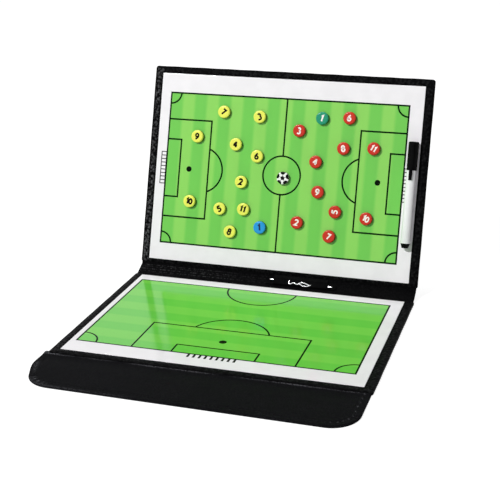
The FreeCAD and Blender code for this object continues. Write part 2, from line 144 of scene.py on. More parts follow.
def capped(rows, columns):
    """Faces of a tube of rings, with a flat end at each end."""
    first = list(range(columns))
    last = [index + (rows - 1) * columns for index in first]
    return grid_faces(rows, columns) + [first[::-1], last]


def flipped(faces):
    """Faces turned to look the other way."""
    return [face[::-1] for face in faces]


def placed(parts, where):
    """Parts of a piece carried from a frame into the shared frame."""
    return [(place(points, where), faces, number) for points, faces, number in parts]


def piece_of(name, parts, materials, sharp=35.0, weld=0.0, crown=None):
    """A mesh object of (points in mm, faces, material number) parts, smooth but for edges past an angle.

    A part's material number is one for all its faces or one for each of them.
    crown is a value at each point, for the leather material: where it is high, the raised grain is painted
    pale as a painted highlight.
    """
    points = []
    faces = []
    numbers = []
    start = 0
    for some_points, some_faces, number in parts:
        flat = np.asarray(some_points, float).reshape(-1, 3)
        points.append(flat)
        faces += [[index + start for index in face] for face in some_faces]
        numbers += np.broadcast_to(number, len(some_faces)).tolist()
        start += len(flat)
    mesh = bpy.data.meshes.new(name)
    mesh.from_pydata((np.concatenate(points) * MM).tolist(), [], faces)
    for material in materials:
        mesh.materials.append(material)
    mesh.polygons.foreach_set("material_index", numbers)
    mesh.polygons.foreach_set("use_smooth", np.ones(len(faces), bool))
    if crown is not None:
        mesh.attributes.new("crown", "FLOAT", "POINT").data.foreach_set("value", np.ravel(crown))
    if weld:
        work = bmesh.new()
        work.from_mesh(mesh)
        bmesh.ops.remove_doubles(work, verts=work.verts, dist=weld * MM)
        work.to_mesh(mesh)
        work.free()
    mesh.set_sharp_from_angle(angle=math.radians(sharp))
    mesh.update()
    made = bpy.data.objects.new(name, mesh)
    bpy.context.scene.collection.objects.link(made)
    return made


def dress(made, body, slot, *nodes):
    """Lets a piece ride on a body, in place of its CAD nodes if it has any."""
    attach(made, body)
    if nodes:
        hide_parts(*nodes)
    return made


def turned(profile, sides):
    """A profile of (radius, height) rows carried round the height axis, with flat ends."""
    angle = np.arange(sides) * (2 * np.pi / sides)
    profile = np.asarray(profile, float)
    height = np.repeat(profile[:, 1:], sides, 1)
    points = np.stack([profile[:, :1] * np.cos(angle), profile[:, :1] * np.sin(angle), height], -1)
    return points, capped(len(profile), sides)


def arc(centre, radius, start, end, steps):
    """Points on an arc in a plane, from one angle to another."""
    angle = np.radians(np.linspace(start, end, steps))
    return np.stack([centre[0] + radius * np.cos(angle), centre[1] + radius * np.sin(angle)], -1)


def outline(x, y_low, y_high, radius, steps, aside, along):
    """Counter-clockwise rounded rectangle, with a number of points on each corner, side and end."""
    corners = [
        arc((x - radius, y_low + radius), radius, -90, 0, steps),
        arc((x - radius, y_high - radius), radius, 0, 90, steps),
        arc((radius - x, y_high - radius), radius, 90, 180, steps),
        arc((radius - x, y_low + radius), radius, 180, 270, steps),
    ]
    rows = []
    for index, corner in enumerate(corners):
        share = np.linspace(0, 1, aside if index % 2 == 0 else along)[1:-1, None]
        rows += [corner, corner[-1] * (1 - share) + corners[(index + 1) % 4][0] * share]
    return np.concatenate(rows)


def rim(low, high, radius, steps=5):
    """(inset, height) rows of a rounded edge, from its lower face to its upper one."""
    under = arc((radius, low + radius), radius, 270, 180, steps)
    over = arc((radius, high - radius), radius, 180, 90, steps)
    return np.concatenate([under, over])


def stacked(rows, ring):
    """Rings at (inset, height) rows, where ring(inset) gives an outline."""
    outlines = [(ring(inset), height) for inset, height in rows]
    return np.stack([np.column_stack([flat, np.full(len(flat), height)]) for flat, height in outlines])


def tube(path, radius, normal, sides=12):
    """A round wire along a path. normal is roughly square to the path all along."""
    path = np.asarray(path, float)
    ahead = np.gradient(path, axis=0)
    ahead /= np.linalg.norm(ahead, axis=1, keepdims=True)
    aside = np.cross(ahead, np.asarray(normal, float))
    aside /= np.linalg.norm(aside, axis=1, keepdims=True)
    above = np.cross(aside, ahead)
    angle = np.arange(sides) * (2 * np.pi / sides)
    ring = aside[:, None] * np.cos(angle)[None, :, None] + above[:, None] * np.sin(angle)[None, :, None]
    return path[:, None] + radius * ring, flipped(capped(len(path), sides))


def eased_path(corners, rounds=3):
    """A path whose corners are cut at their quarters again and again, which rounds them."""
    path = np.asarray(corners, float)
    for _ in range(rounds):
        near = path[:-1] * 0.75 + path[1:] * 0.25
        far = path[:-1] * 0.25 + path[1:] * 0.75
        inner = np.stack([near, far], 1).reshape(-1, path.shape[1])
        path = np.concatenate([path[:1], inner[1:-1], path[-1:]])
    return path


def step(value):
    """A smooth step from 0 to 1."""
    value = np.clip(value, 0, 1)
    return value * value * (3 - 2 * value)


def bell(value):
    """A bell curve of height 1 about 0."""
    return np.exp(-value * value)


# Materials
def node(tree, kind, inputs=(), **settings):
    """A shader node with its settings and its filled inputs."""
    made = tree.nodes.new(kind)
    for key, value in settings.items():
        setattr(made, key, value)
    fill(tree, made, dict(inputs))
    return made


def fill(tree, made, inputs):
    """Sets each named input of a node to a value, or joins it to a socket."""
    for key, value in inputs.items():
        if isinstance(value, bpy.types.NodeSocket):
            tree.links.new(value, made.inputs[key])
        else:
            made.inputs[key].default_value = value


def worked(tree, operation, *values):
    """The result of a maths node."""
    return node(tree, "ShaderNodeMath", dict(enumerate(values)), operation=operation).outputs[0]


def eased(tree, value, low, high):
    """0 at low, 1 at high, and a smooth step between."""
    inputs = {"Value": value, 1: low, 2: high}
    return node(tree, "ShaderNodeMapRange", inputs, interpolation_type="SMOOTHSTEP").outputs[0]


def mixed(tree, share, first, second):
    """Two colours mixed by a share."""
    return node(tree, "ShaderNodeMix", {0: share, 6: first, 7: second}, data_type="RGBA").outputs[2]


def group(name, inputs, outputs, build):
    """A node group with named sockets. build takes its tree and inputs and gives its output sockets."""
    tree = bpy.data.node_groups.new(name, "ShaderNodeTree")
    for key, value in inputs.items():
        kind = "NodeSocketVector" if value is None else "NodeSocketFloat"
        socket = tree.interface.new_socket(key, in_out="INPUT", socket_type=kind)
        if value is not None:
            socket.default_value = value
    for key in outputs:
        tree.interface.new_socket(key, in_out="OUTPUT", socket_type="NodeSocketFloat")
    start = tree.nodes.new("NodeGroupInput")
    end = tree.nodes.new("NodeGroupOutput")
    for key, socket in build(tree, start.outputs).items():
        tree.links.new(socket, end.inputs[key])
    return tree


def leather_grain(tree, given):
    """Rounded pebbles of two sizes with creases between them, fine pores, and a slow change of tone."""
    warp = node(tree, "ShaderNodeTexNoise", {"Vector": given["Vector"], "Scale": 240.0, "Detail": 2.0})
    reach = {0: warp.outputs["Color"], "Scale": 0.0012}
    shift = node(tree, "ShaderNodeVectorMath", reach, operation="SCALE")
    bent = node(tree, "ShaderNodeVectorMath", {0: given["Vector"], 1: shift.outputs[0]}, operation="ADD")
    large = node(tree, "ShaderNodeTexVoronoi", {"Vector": bent.outputs[0], "Scale": given["Scale"]},
                 feature="SMOOTH_F1")
    finer = worked(tree, "MULTIPLY", given["Scale"], 2.3)
    small = node(tree, "ShaderNodeTexVoronoi", {"Vector": bent.outputs[0], "Scale": finer}, feature="F1")
    pores = node(tree, "ShaderNodeTexNoise", {"Vector": given["Vector"], "Scale": 2600.0, "Detail": 3.0})
    height = worked(tree, "MULTIPLY", small.outputs["Distance"], -0.3)
    height = worked(tree, "SUBTRACT", height, large.outputs["Distance"])
    height = worked(tree, "MULTIPLY_ADD", pores.outputs[0], 0.1, height)
    slow = node(tree, "ShaderNodeTexNoise", {"Vector": given["Vector"], "Scale": 35.0, "Detail": 4.0})
    return {"Height": height, "Crease": large.outputs["Distance"], "Tone": slow.outputs[0]}


def fine_wear(tree, given):
    """Slight unevenness of a smooth surface: slow clouds and short fine scratches."""
    clouds = node(tree, "ShaderNodeTexNoise", {"Vector": given["Vector"], "Scale": 60.0, "Detail": 5.0})
    stretch = node(tree, "ShaderNodeMapping", {"Vector": given["Vector"], "Scale": (90.0, 1400.0, 900.0),
                                               "Rotation": (0.0, 0.0, 0.4)})
    lines = node(tree, "ShaderNodeTexNoise", {"Vector": stretch.outputs[0], "Scale": 1.0, "Detail": 2.0})
    return {"Cloud": clouds.outputs[0], "Scratch": eased(tree, lines.outputs[0], 0.62, 0.78)}


LEATHER_GRAIN = group("Leather grain", {"Vector": None, "Scale": 900.0}, ["Height", "Crease", "Tone"],
                      leather_grain)
FINE_WEAR = group("Fine wear", {"Vector": None}, ["Cloud", "Scratch"], fine_wear)


def finish_of(name):
    """A new node material: itself, its tree, its shader node and its object coordinates."""
    made = bpy.data.materials.new(name)
    made.use_nodes = True
    tree = made.node_tree
    return made, tree, tree.nodes["Principled BSDF"], tree.nodes.new("ShaderNodeTexCoord").outputs["Object"]


def rgb(red, green, blue):
    """A colour given as it looks on a screen, from 0 to 255, as linear light."""
    shares = np.array([red, green, blue]) / 255
    return (*np.where(shares <= 0.04045, shares / 12.92, ((shares + 0.055) / 1.055) ** 2.4).tolist(), 1.0)


def leather(name, dark, light, scale, depth, roughness, gloss, has_painted_highlight=False):
    """Pebbled leather whose raised grain is paler, most of all where a crown value paints a highlight on it,
    if it has one.

    scale is in pebbles to the metre, depth in metres.
    """
    made, tree, shader, where = finish_of(name)
    grain = node(tree, "ShaderNodeGroup", {"Vector": where, "Scale": scale}, node_tree=LEATHER_GRAIN).outputs
    raised = eased(tree, grain["Crease"], 0.6, 0.1)
    tone = worked(tree, "MULTIPLY", raised, grain["Tone"])
    # Painted highlight: the crown value scales how pale the raised grain is painted.
    if has_painted_highlight:
        crown = node(tree, "ShaderNodeAttribute", attribute_name="crown").outputs["Fac"]
        tone = worked(tree, "MULTIPLY", tone, worked(tree, "MULTIPLY_ADD", crown, 0.95, 0.05))
    spread = {"Value": grain["Tone"], 3: roughness - 0.08, 4: roughness + 0.1}
    rough = node(tree, "ShaderNodeMapRange", spread)
    relief = node(tree, "ShaderNodeBump", {"Height": grain["Height"], "Strength": 1.0, "Distance": depth})
    fill(tree, shader, {
        "Base Color": mixed(tree, tone, dark, light),
        "Roughness": rough.outputs[0],
        "Normal": relief.outputs[0],
        "Specular IOR Level": gloss,
    })
    return made


def smooth(name, colour, roughness, metallic=0.0, gloss=0.5):
    """A moulded, painted, printed or plated surface with slight clouding and fine scratches."""
    made, tree, shader, where = finish_of(name)
    wear = node(tree, "ShaderNodeGroup", {"Vector": where}, node_tree=FINE_WEAR).outputs
    pale = tuple(min(1.0, value * 1.04 + 0.002) for value in colour[:3]) + (1.0,)
    cloud = eased(tree, wear["Cloud"], 0.35, 0.7)
    fill(tree, shader, {
        "Base Color": mixed(tree, cloud, colour, pale),
        "Roughness": worked(tree, "MULTIPLY_ADD", wear["Scratch"], 0.08, roughness),
        "Metallic": metallic,
        "Specular IOR Level": gloss,
    })
    return made


FILM_ROUGHNESS = 0.09
STRIPE_EDGE = 2.2


def striped(name, axis, start, width, dark, light, gloss):
    """A printed pitch: two greens in stripes across an axis, with soft edges and faint print noise."""
    made, tree, shader, where = finish_of(name)
    along = node(tree, "ShaderNodeSeparateXYZ", {0: where}).outputs[axis]
    wave = worked(tree, "PINGPONG", worked(tree, "SUBTRACT", along, (start + width / 2) * MM), width * MM)
    share = eased(tree, wave, (width / 2 - STRIPE_EDGE) * MM, (width / 2 + STRIPE_EDGE) * MM)
    cloud = node(tree, "ShaderNodeGroup", {"Vector": where}, node_tree=FINE_WEAR).outputs["Cloud"]
    faint = worked(tree, "MULTIPLY", cloud, 0.12)
    fill(tree, shader, {
        "Base Color": mixed(tree, faint, mixed(tree, share, dark, light), light),
        "Roughness": worked(tree, "MULTIPLY_ADD", cloud, 0.05, FILM_ROUGHNESS),
        "Specular IOR Level": gloss,
    })
    return made


# The paler colour of each leather is that of its raised grain and of its painted highlights.
COVER_LEATHER = leather("cover leather", rgb(4, 4, 5), rgb(128, 128, 131), 420.0, 0.0005, 0.45, 0.012, True)
SPINE_LEATHER = leather("spine leather", rgb(6, 6, 7), rgb(96, 96, 98), 520.0, 0.0003, 0.55, 0.01, True)
FLAP_LEATHER = leather("flap leather", rgb(8, 8, 10), rgb(150, 150, 156), 1500.0, 0.00006, 0.65, 0.015, True)
THREAD = leather("thread", rgb(10, 10, 11), rgb(30, 30, 32), 3000.0, 0.0001, 0.7, 0.05)
FILM = smooth("white film", rgb(244, 241, 245), FILM_ROUGHNESS, gloss=0.2)
UPPER_GREEN = striped("upper pitch print", 0, -136.5, 14.184, rgb(113, 204, 84), rgb(143, 216, 97), 0.3)
LOWER_GREEN = striped("lower pitch print", 1, -83.7, 18.2, rgb(102, 205, 70), rgb(119, 212, 77), 0.35)
LINE = smooth("pitch lines", rgb(2, 32, 6), 0.2, gloss=0.03)
GOAL_LINE = smooth("goal lines", rgb(34, 34, 34), 0.2, gloss=0.03)
SPOT = smooth("pitch spots", rgb(3, 16, 3), 0.2, gloss=0.03)
STEEL = smooth("sheet steel", rgb(165, 167, 170), 0.35, metallic=1.0)
CARD = smooth("grey board", rgb(120, 112, 100), 0.85, gloss=0.1)
CLIP_BLACK = smooth("clip paint", rgb(4, 4, 5), 0.4, gloss=0.006)
CHROME = smooth("bright plating", rgb(226, 227, 230), 0.12, metallic=1.0)
SPRING = smooth("spring steel", rgb(120, 122, 126), 0.28, metallic=1.0)
FERRITE = smooth("ferrite", rgb(52, 52, 54), 0.7)
CAP_BLACK = smooth("black plastic", rgb(3, 3, 4), 0.22, gloss=0.03)
BARREL_WHITE = smooth("white plastic", rgb(243, 243, 245), 0.25)
FELT = smooth("felt", rgb(30, 30, 32), 0.95, gloss=0.05)
DARK_INK = smooth("dark ink", rgb(8, 6, 2), 0.35, gloss=0.05)
PALE_INK = smooth("pale ink", rgb(248, 238, 234), 0.35)
NAVY_INK = smooth("navy ink", rgb(14, 34, 76), 0.35, gloss=0.2)
BALL_INK = smooth("ball ink", rgb(6, 6, 7), 0.35, gloss=0.05)
# A near-black band round the lower wall of every chip: painted shade at the chip's foot.
CHIP_FOOT_SHADE = smooth("chip foot painted shade", rgb(10, 10, 11), 0.6, gloss=0.05)
CHIP_LOOKS = {
    "yellow": (smooth("yellow plastic", rgb(240, 241, 98), 0.2, gloss=0.25), DARK_INK, "chip_yellow"),
    "red": (smooth("red plastic", rgb(202, 46, 27), 0.2, gloss=0.25), PALE_INK, "chip_red"),
    "blue": (smooth("blue plastic", rgb(36, 152, 226), 0.2, gloss=0.25), NAVY_INK, "chip_blue"),
    "teal": (smooth("teal plastic", rgb(24, 146, 112), 0.2, gloss=0.25), PALE_INK, "chip_teal"),
    "ball": (smooth("white chip plastic", rgb(244, 244, 244), 0.3), BALL_INK, "chip_white"),
}
CAD_LOOKS = {
    "grey_board": CARD,
    "sheet_steel": STEEL,
    "clip_black": CLIP_BLACK,
    "clip_bright": CHROME,
    "spring_steel": SPRING,
    "ferrite": FERRITE,
    "marker_black": CAP_BLACK,
    "marker_white": BARREL_WHITE,
    "marker_felt": FELT,
}
for row in frame["record"]["subparts"]:
    look = CAD_LOOKS.get(row["material_slot"])
    if look:
        mesh = frame["nodes"][row["node"]].data
        mesh.materials.clear()
        mesh.materials.append(look)


# Leather covers
COVER_EDGE = 1.3
BORDER_CROWN = 0.4
BORDER_END = 8.2
FLAT_INSET = 14.0
# Painted highlight on the border's swell: its strength on most borders, with the left border's strength
# given to cover(). The outer faces get an even grain paleness.
BORDER_PAINTED_HIGHLIGHT = 0.06
OUTER_SHINE = 0.2


def cover(name, where, y_low, y_high, left_painted_highlight, body, cad_node):
    """A slab of leather with rounded edges, whose border swells a little beside the board.

    Its raised grain is painted pale on the swell as a painted highlight, and more so on the left border than
    on the others, as where the light falls from the left.
    """
    def ring(inset):
        corner = max(COVER_CORNER - inset, 0.6)
        points = outline(COVER_HALF - inset, y_low + inset, y_high - inset, corner, 7, 80, 110)
        wave = 0.12 * np.sin(points[:, :1] * 0.21 + points[:, 1:] * 0.13)
        return points + wave * np.array([[0.6, 0.8]])
    crown = np.linspace(0.1, 1, 9)
    insets = COVER_EDGE + crown * (BORDER_END - COVER_EDGE)
    border = np.column_stack([insets, INNER_FACE + BORDER_CROWN * np.sin(crown * np.pi)])
    under = [(FLAT_INSET, OUTER_FACE), (COVER_EDGE + 0.6, OUTER_FACE)]
    inside = [(10.4, INNER_FACE - 0.25), (FLAT_INSET, INNER_FACE - 0.3)]
    rings = stacked(np.concatenate([under, rim(OUTER_FACE, INNER_FACE, COVER_EDGE), border, inside]), ring)
    before = np.zeros(len(rings) - len(border) - len(inside))
    rise = np.concatenate([before, np.sin(crown * np.pi), np.zeros(len(inside))])
    # Painted highlight: the swell is painted pale, with the left border's own strength on the left and a
    # weaker one elsewhere.
    on_left = step((12.0 - COVER_HALF - rings[..., 0]) / 5.0)
    painted_highlight = rise[:, None] * (BORDER_PAINTED_HIGHLIGHT + (left_painted_highlight - BORDER_PAINTED_HIGHLIGHT) * on_left)
    painted_highlight[:len(under)] = OUTER_SHINE
    skin = (place(rings, where), capped(*rings.shape[:2]), 0)
    made = piece_of(name, [skin], [COVER_LEATHER], sharp=50, crown=painted_highlight)
    dress(made, body, "black_leather", cad_node)


cover("lower_cover_skin", LOWER, -COVER_REACH, -FOLD_SETBACK, 0.15, "lower_cover", "lower_cover_leather")
cover("upper_cover_skin", UPPER, FOLD_SETBACK, COVER_REACH, 1.0, "upper_cover", "upper_cover_leather")

# Folded leather sheets, and how far they lap onto the covers
FOLD_REACH = 1.4
FOLD_TOP = 0.72
FOLD_LOW = -0.78
SPINE_LAP = 3.6
PANEL_LAP = 3.4
EDGE_STEPS = np.array([0, 0.1, 0.25, 0.45, 0.7, 1.0, 1.4, 2.0])


def edge_share(distance, radius):
    """How far a rounded edge has risen at a distance from it: a quarter circle."""
    return np.sqrt(1 - (1 - np.clip(distance / radius, 0, 1)) ** 2)


def spaced(low, high, fine_low, fine_high, fine, coarse):
    """Places from low to high, with a fine step between two limits and a coarse step elsewhere."""
    middle = (max(low, fine_low), min(high, fine_high), fine)
    runs = [(low, fine_low, coarse), middle, (fine_high, high, coarse)]
    places = [np.arange(*run) for run in runs if run[0] < run[1]]
    return np.unique(np.concatenate(places + [[high]]).round(4))


def across_from(half, fine_width, fine, coarse_count):
    """Shares of a half width from -1 to 1, close together near both ends."""
    near = np.concatenate([EDGE_STEPS, np.arange(2.8, fine_width, fine)])
    middle = np.linspace(fine_width + 2.0 - half, half - fine_width - 2.0, coarse_count)
    return np.concatenate([near - half, middle, (half - near)[::-1]]) / half


def folded(name, where, x, s, levels, rise, angle, look, crown):
    """A closed leather sheet over a fold at its frame's origin. It turns by an angle as it crosses the fold.

    Its two levels meet where rise is 0. s runs across the fold and x along it.
    crown is that of its upper level: where it is high, its raised grain is painted pale as a painted
    highlight.
    """
    middle = (levels[0] + levels[1]) / 2
    turn = np.radians(angle) * step((s + FOLD_REACH) / (2 * FOLD_REACH))
    sides = []
    for level in levels:
        z = middle + (level - middle) * rise
        across = s * np.cos(turn) - z * np.sin(turn)
        height = s * np.sin(turn) + z * np.cos(turn)
        sides.append(np.stack([x, across, height], -1))
    loops = np.concatenate([sides[0], sides[1][::-1]]).transpose(1, 0, 2)
    faces = flipped(grid_faces(*loops.shape[:2]))
    crown = np.concatenate([crown, np.full_like(crown, OUTER_SHINE)]).T
    return piece_of(name, [(place(loops, where), faces, 0)], [look], sharp=60, weld=0.0005, crown=crown)


def across_fold(made, where, angle, nodes):
    """Fixes a sheet in the shared frame and hides the CAD nodes it takes the place of; the places of the
    fold's two ends are worked out but not used.
    """
    start = place((0, -FOLD_REACH, 0), where) * MM
    end = place((0, FOLD_REACH, 0), moved(where, (0, 0, 0), angle)) * MM
    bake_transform(made)
    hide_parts(*nodes)


def wrinkle(x, t):
    """Long soft creases along the spine that come and go. t is the distance from the lower fold."""
    first = np.sin(t * 1.9 + 0.6 * np.sin(x * 0.021 + 1.0))
    second = np.sin(t * 3.1 + 0.9 * np.sin(x * 0.037) + 2.0)
    return (0.55 - 0.45 * np.sin(x * 0.013 - 0.4)) * (first + 0.6 * second)


def spine_sheet(name, where, low, high, side, t_fold, angle, nodes):
    """Half of the spine's leather, on one side of a fold, with the fold that joins it to its cover."""
    along = spaced(low, high, -3.0, 3.0, 0.3, 0.5)
    s, share = np.meshgrid(along, across_from(FOLD_HALF, 6.0, 1.0, 100), indexing="ij")
    x = share * FOLD_HALF
    on_spine = step((side * s - 1.0) / 1.8)
    creases = wrinkle(x, s + t_fold)
    top = FOLD_TOP + 0.12 * on_spine + 0.1 * creases * on_spine
    bottom = FOLD_LOW + (SPINE_LOW - FOLD_LOW) * on_spine
    # Painted highlight on the crests of the creases, strongest at the spine's left end and gone a little
    # right of the middle.
    painted_highlight = on_spine * np.clip(creases - 0.2, 0, 1) * step((60.0 - x) / 200.0)
    rise = edge_share(FOLD_HALF - np.abs(x), 0.9)
    made = folded(name, where, x, s, (top, bottom), rise, angle, SPINE_LEATHER, painted_highlight)
    across_fold(made, where, angle, nodes)


spine_sheet("spine_skin_lower", LOWER, -SPINE_LAP, SPINE_PITCH / 2, 1, 0.0, SPINE_ANGLE,
            ["spine_leather"])
spine_sheet("spine_skin_upper", SPINE_AT_TOP, -SPINE_PITCH / 2, SPINE_LAP, -1, SPINE_PITCH,
            COVER_ANGLE - SPINE_ANGLE, ["spine_leather"])

# Closing flap: one panel with a hem on three sides, in two sheets that meet on the gusset.
# Its places are x, from the middle to the folder's left, and s, from the flap's fold to the front.
GUSSET_TOP = 0.8
PANEL_LOW = -0.8
SEAM = FLAP_HEM - 1.4
PLEATS = 28.0
EAR_START = 154.4
SIDE_EASE = 5.0
EAR_REACH = 2.8
LEAN = FLAP_TAPER / FLAP_LENGTH
LEAN_COSINE = 1 / math.hypot(1, LEAN)
LEAN_ANGLE = math.atan(LEAN)
LEFT_CENTRE = FLAP_LENGTH - FLAP_LEFT_CORNER
LEFT_TANGENT = LEFT_CENTRE + FLAP_LEFT_CORNER * LEAN * LEAN_COSINE
LEFT_CENTRE_X = FLAP_HALF - LEFT_TANGENT * LEAN - FLAP_LEFT_CORNER * LEAN_COSINE
RIGHT_CENTRE = FLAP_LENGTH - FLAP_RIGHT_CORNER
RIGHT_CENTRE_X = FLAP_RIGHT_CORNER - FLAP_HALF
# Each corner's centre, its radius, and the angles between which it bounds the flap
FLAP_CORNERS = [(LEFT_CENTRE_X, LEFT_CENTRE, FLAP_LEFT_CORNER, LEAN_ANGLE, math.pi / 2),
                (RIGHT_CENTRE_X, RIGHT_CENTRE, FLAP_RIGHT_CORNER, math.pi / 2, math.pi)]


def panel_left(s):
    """X of the panel's left side: straight on the gusset, then gently bent to lean in to the front."""
    return FLAP_HALF - LEAN * SIDE_EASE * np.log1p(np.exp(s / SIDE_EASE))


def panel_sides(s):
    """X of the panel's left and right edges: a leaning side, a straight one, and two round corners."""
    left = panel_left(s)
    left_round = np.sqrt(np.maximum(FLAP_LEFT_CORNER**2 - (s - LEFT_CENTRE) ** 2, 0))
    left = np.where(s > LEFT_TANGENT, LEFT_CENTRE_X + left_round, left)
    into = np.maximum(s - RIGHT_CENTRE, 0)
    return left, RIGHT_CENTRE_X - np.sqrt(np.maximum(FLAP_RIGHT_CORNER**2 - into**2, 0))


def panel_edge(x, s):
    """Distance in from the panel's edge, how squarely a place lies in a corner, and its angle there."""
    left = (panel_left(s) - x) * LEAN_COSINE
    inward = np.minimum(np.minimum(left, FLAP_HALF + x), FLAP_LENGTH - s)
    in_corner = np.zeros_like(inward)
    turn = np.zeros_like(inward)
    for centre_x, centre_s, radius, low, high in FLAP_CORNERS:
        angle = np.arctan2(s - centre_s, x - centre_x)
        inside = (angle > low) & (angle < high)
        inward = np.where(inside, radius - np.hypot(x - centre_x, s - centre_s), inward)
        in_corner = np.where(inside, step((angle - low) / 0.25) * step((high - angle) / 0.25), in_corner)
        turn = np.where(inside, angle, turn)
    return inward, in_corner, turn


def gathers(turn):
    """Uneven waves of the gathered leather, by the angle round a corner."""
    return np.sin(turn * PLEATS + 0.8 * np.sin(turn * 9))


def panel_top(x, s):
    """Height of the panel's upper face: a ridge, a hem, a sunk seam, the lining and gathered corners."""
    inward, in_corner, turn = panel_edge(x, s)
    onto_flap = step((s + 20.0) / 23.0)
    ridge = 0.8 * bell((s + GUSSET_LENGTH + 2.2) / 1.5)
    base = GUSSET_TOP + (FLAP_TOP - GUSSET_TOP) * onto_flap + ridge
    hem = 0.1 * step((FLAP_HEM - inward) / 1.2) + 0.12 * bell((inward - 2.0) / 1.6)
    seam = -0.16 * bell((inward - FLAP_HEM) / 0.6)
    lining = 0.1 * onto_flap * step((inward - FLAP_HEM - 0.4) / 1.0)
    band = step((inward - 1.4) / 2.0) * step((FLAP_HEM + 1.5 - inward) / 2.5)
    pleats = -0.5 * band * in_corner * step(gathers(turn) * 0.5 + 0.3)
    soft = 0.1 * np.sin(x * 0.043 + 1.3) * np.sin(s * 0.11) + 0.06 * np.sin(x * 0.017 - s * 0.06)
    return base + hem + seam + lining + pleats + soft * step((inward - FLAP_HEM) / 14.0)


def panel_painted_highlight(x, s):
    """Where the panel's leather is painted palest, as painted highlights.

    That is on its sewn ridge, on its left corner's pleats, hem and edge, and along its right seam.
    """
    inward, in_corner, turn = panel_edge(x, s)
    # Painted highlight along the sewn ridge, uneven along its length.
    ridge_highlight_unevenness = 0.45 + 0.3 * np.sin(x * 0.05) + 0.25 * np.sin(x * 0.13 + 1.0)
    ridge = bell((s + GUSSET_LENGTH + 2.0) / 1.1) * ridge_highlight_unevenness
    on_left = step((x - 60.0) / 80.0)
    pleats = in_corner * on_left * step(-gathers(turn) * 0.9) * bell((inward - 4.6) / 2.4)
    side = on_left * step((22.0 - s) / 8.0) * step((s + 8.0) / 8.0) * bell((inward - 4.5) / 1.8)
    edge = step((x - 20.0) / 100.0) * step((s - 24.0) / 10.0) * bell((inward - 1.0) / 0.7)
    on_right = step((-110.0 - x) / 30.0)
    seam = on_right * bell((inward - SEAM) / 0.9) * np.clip(np.sin(x * 0.9 + s * 0.7), 0, 1)
    return 1.4 * ridge + 1.6 * pleats + 0.5 * side + 0.5 * edge + 0.6 * seam


def skewed(x, s):
    """Distance from the flap's fold once the flap's front runs askew, shorter on the left."""
    return s - FLAP_SKEW / 2 * (x / FLAP_HALF) * np.clip(s / FLAP_LENGTH, 0, 1)


def panel_sheet(name, where, offset, along, nodes):
    """One of the panel's two sheets. offset is how far its own fold lies from the flap's fold."""
    s, share = np.meshgrid(along + offset, across_from(FLAP_HALF, 46.0, 0.8, 44), indexing="ij")
    left, right = panel_sides(s)
    x = (left * (1 + share) + right * (1 - share)) / 2
    ear = step((x - EAR_START) / 1.2) * step(-(s + GUSSET_LENGTH) / PANEL_LAP)
    levels = (panel_top(x, s), np.full_like(s, PANEL_LOW))
    rise = edge_share(panel_edge(x, s)[0], 1.3)
    along = skewed(x, s) - offset - EAR_REACH * ear
    made = folded(name, where, x, along, levels, rise, 0.0, FLAP_LEATHER, panel_painted_highlight(x, s))
    across_fold(made, where, 0.0, nodes)
    return made


PANEL_MIDDLE = GUSSET_LENGTH / 2
gusset_steps = spaced(-PANEL_LAP, PANEL_MIDDLE, -PANEL_LAP, 3.0, 0.34, 0.8)
gusset_skin = panel_sheet("gusset_skin", GUSSET, -GUSSET_LENGTH, gusset_steps,
                          ["gusset_leather"])
flap_steps = spaced(PANEL_MIDDLE - GUSSET_LENGTH, FLAP_LENGTH - 3.0, -4.0, 5.0, 0.4, 0.8)
front_steps = FLAP_LENGTH - np.array([2.2, 1.6, 1.1, 0.7, 0.4, 0.2, 0.08, 0])
flap_skin = panel_sheet("flap_skin", FLAP, 0.0, np.concatenate([flap_steps, front_steps]),
                        ["flap_leather", "flap_lining"])

STITCH_PITCH = 3.6
STITCH_REACH = np.array([-1.25, -1.0, 0.0, 1.0, 1.25])
STITCH_RADIUS = np.array([0.02, 0.2, 0.26, 0.2, 0.02])
STITCH_SIDES = 6


def stitches(name, path, body):
    """A row of short thread loops, each a six-sided spindle, along a path of (x, s) points on the panel."""
    path = np.asarray(path, float)
    length = np.concatenate([[0], np.cumsum(np.linalg.norm(np.diff(path, axis=0), axis=1))])
    places = np.arange(1.5, length[-1] - 1.0, STITCH_PITCH)
    centre = np.stack([np.interp(places, length, path[:, k]) for k in (0, 1)], -1)
    ahead = np.stack([np.interp(places + 0.5, length, path[:, k]) for k in (0, 1)], -1) - centre
    ahead /= np.linalg.norm(ahead, axis=1, keepdims=True)
    reach = STITCH_REACH[:, None]
    size = STITCH_RADIUS[:, None]
    angle = np.arange(STITCH_SIDES) * (2 * np.pi / STITCH_SIDES)
    aside = size * np.cos(angle)
    ahead_x, ahead_s = ahead[:, 0, None, None], ahead[:, 1, None, None]
    x = centre[:, 0, None, None] + reach * ahead_x - aside * ahead_s
    s = centre[:, 1, None, None] + reach * ahead_s + aside * ahead_x
    z = panel_top(centre[:, 0], centre[:, 1])[:, None, None] + 0.06 + size * np.sin(angle)
    loops = place(np.stack(np.broadcast_arrays(x, skewed(x, s), z), -1), FLAP)
    faces = flipped(capped(len(STITCH_REACH), STITCH_SIDES))
    dress(piece_of(name, [(loop, faces, 0) for loop in loops], [THREAD]), body, "black_leather")


SEAM_START = 3.5
left_corner, right_corner = (
    arc((centre_x, centre_s), radius - SEAM, math.degrees(low), math.degrees(high), 24)
    for centre_x, centre_s, radius, low, high in FLAP_CORNERS)
seam_left = FLAP_HALF - SEAM / LEAN_COSINE - LEAN * SEAM_START
seam_right = SEAM - FLAP_HALF
stitches("flap_stitches", np.concatenate([[(seam_left, SEAM_START)], left_corner, right_corner,
                                          [(seam_right, SEAM_START)]]), "flap")
for row_x, side_name in ((FLAP_HALF - SEAM, "left"), (seam_right, "right")):
    stitches("gusset_stitches_" + side_name, [(row_x, 4.0 - GUSSET_LENGTH), (row_x, -3.5)], "gusset")

